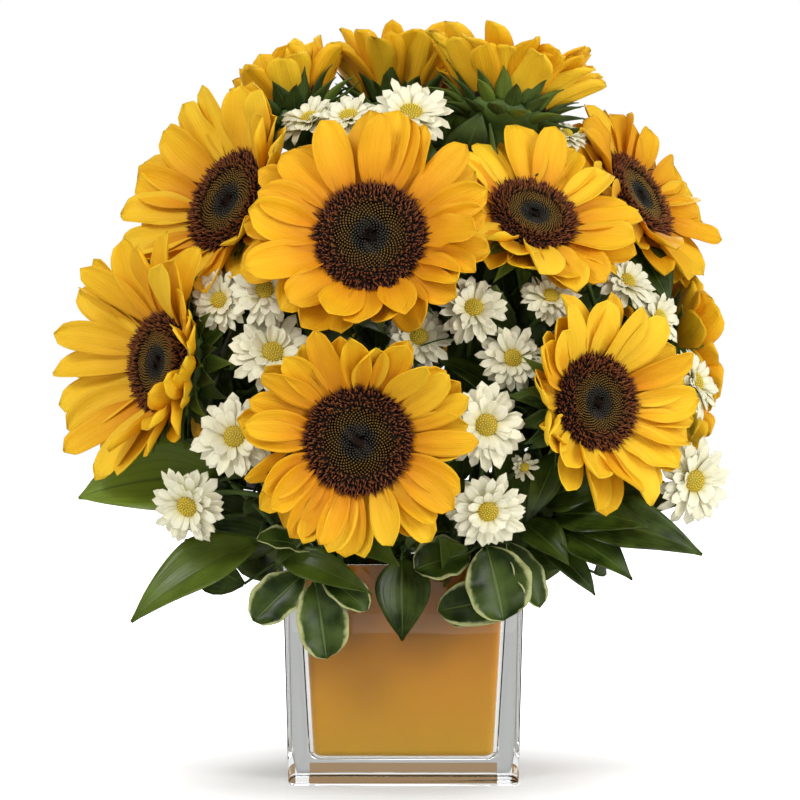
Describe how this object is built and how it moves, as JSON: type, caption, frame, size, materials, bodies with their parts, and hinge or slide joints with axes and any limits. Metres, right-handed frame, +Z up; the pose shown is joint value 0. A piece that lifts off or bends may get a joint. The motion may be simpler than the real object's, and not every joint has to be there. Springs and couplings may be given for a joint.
{
  "type": "sunflower arrangement in a vase",
  "caption": "Dome of sunflowers, white daisies and leafy greenery standing in floral foam in a square glass vase that is coloured amber inside.",
  "frame": {"origin": "centre of the vase's flat underside", "axes": "+Z up, -Y the front of the arrangement, the vase's sides along X and Y"},
  "size_m": [0.35, 0.278, 0.3979],
  "materials": {
    "clear_glass": "gloss",
    "amber_coat": "satin",
    "wet_foam": "matte",
    "green_stem": "satin",
    "yellow_petal": "matte",
    "brown_floret": "matte",
    "white_daisy": "matte",
    "dark_leaf": "satin",
    "edged_leaf": "satin"
  },
  "bodies": {
    "root": {"vase_glass": "clear_glass", "vase_colour_lining": "amber_coat", "foam_block": "wet_foam", "sunflower_01_stem": "green_stem", "sunflower_01_petals": "yellow_petal", "sunflower_01_disc": "brown_floret", "sunflower_02_stem": "green_stem", "sunflower_02_petals": "yellow_petal", "sunflower_02_disc": "brown_floret", "sunflower_03_stem": "green_stem", "sunflower_03_petals": "yellow_petal", "sunflower_03_disc": "brown_floret", "sunflower_04_stem": "green_stem", "sunflower_04_petals": "yellow_petal", "sunflower_04_disc": "brown_floret", "sunflower_05_stem": "green_stem", "sunflower_05_petals": "yellow_petal", "sunflower_05_disc": "brown_floret", "sunflower_06_stem": "green_stem", "sunflower_06_petals": "yellow_petal", "sunflower_06_disc": "brown_floret", "sunflower_07_stem": "green_stem", "sunflower_07_petals": "yellow_petal", "sunflower_07_disc": "brown_floret", "sunflower_08_stem": "green_stem", "sunflower_08_petals": "yellow_petal", "sunflower_08_disc": "brown_floret", "sunflower_09_stem": "green_stem", "sunflower_09_petals": "yellow_petal", "sunflower_09_disc": "brown_floret", "sunflower_10_stem": "green_stem", "sunflower_10_petals": "yellow_petal", "sunflower_10_disc": "brown_floret", "sunflower_11_stem": "green_stem", "sunflower_11_petals": "yellow_petal", "sunflower_11_disc": "brown_floret", "sunflower_12_stem": "green_stem", "sunflower_12_petals": "yellow_petal", "sunflower_12_disc": "brown_floret", "sunflower_13_stem": "green_stem", "sunflower_13_petals": "yellow_petal", "sunflower_13_disc": "brown_floret", "sunflower_14_stem": "green_stem", "sunflower_14_petals": "yellow_petal", "sunflower_14_disc": "brown_floret", "daisy_spray_1": "white_daisy", "daisy_spray_2": "white_daisy", "daisy_spray_3": "white_daisy", "daisy_spray_4": "white_daisy", "daisy_spray_5": "white_daisy", "daisy_spray_6": "white_daisy", "daisy_spray_7": "white_daisy", "daisy_spray_8": "white_daisy", "ruscus_sprig_1": "dark_leaf", "ruscus_sprig_2": "dark_leaf", "ruscus_sprig_3": "dark_leaf", "ruscus_sprig_4": "dark_leaf", "pittosporum_sprig_1": "edged_leaf", "pittosporum_sprig_2": "edged_leaf", "pittosporum_sprig_3": "edged_leaf"}
  },
  "joints": []
}
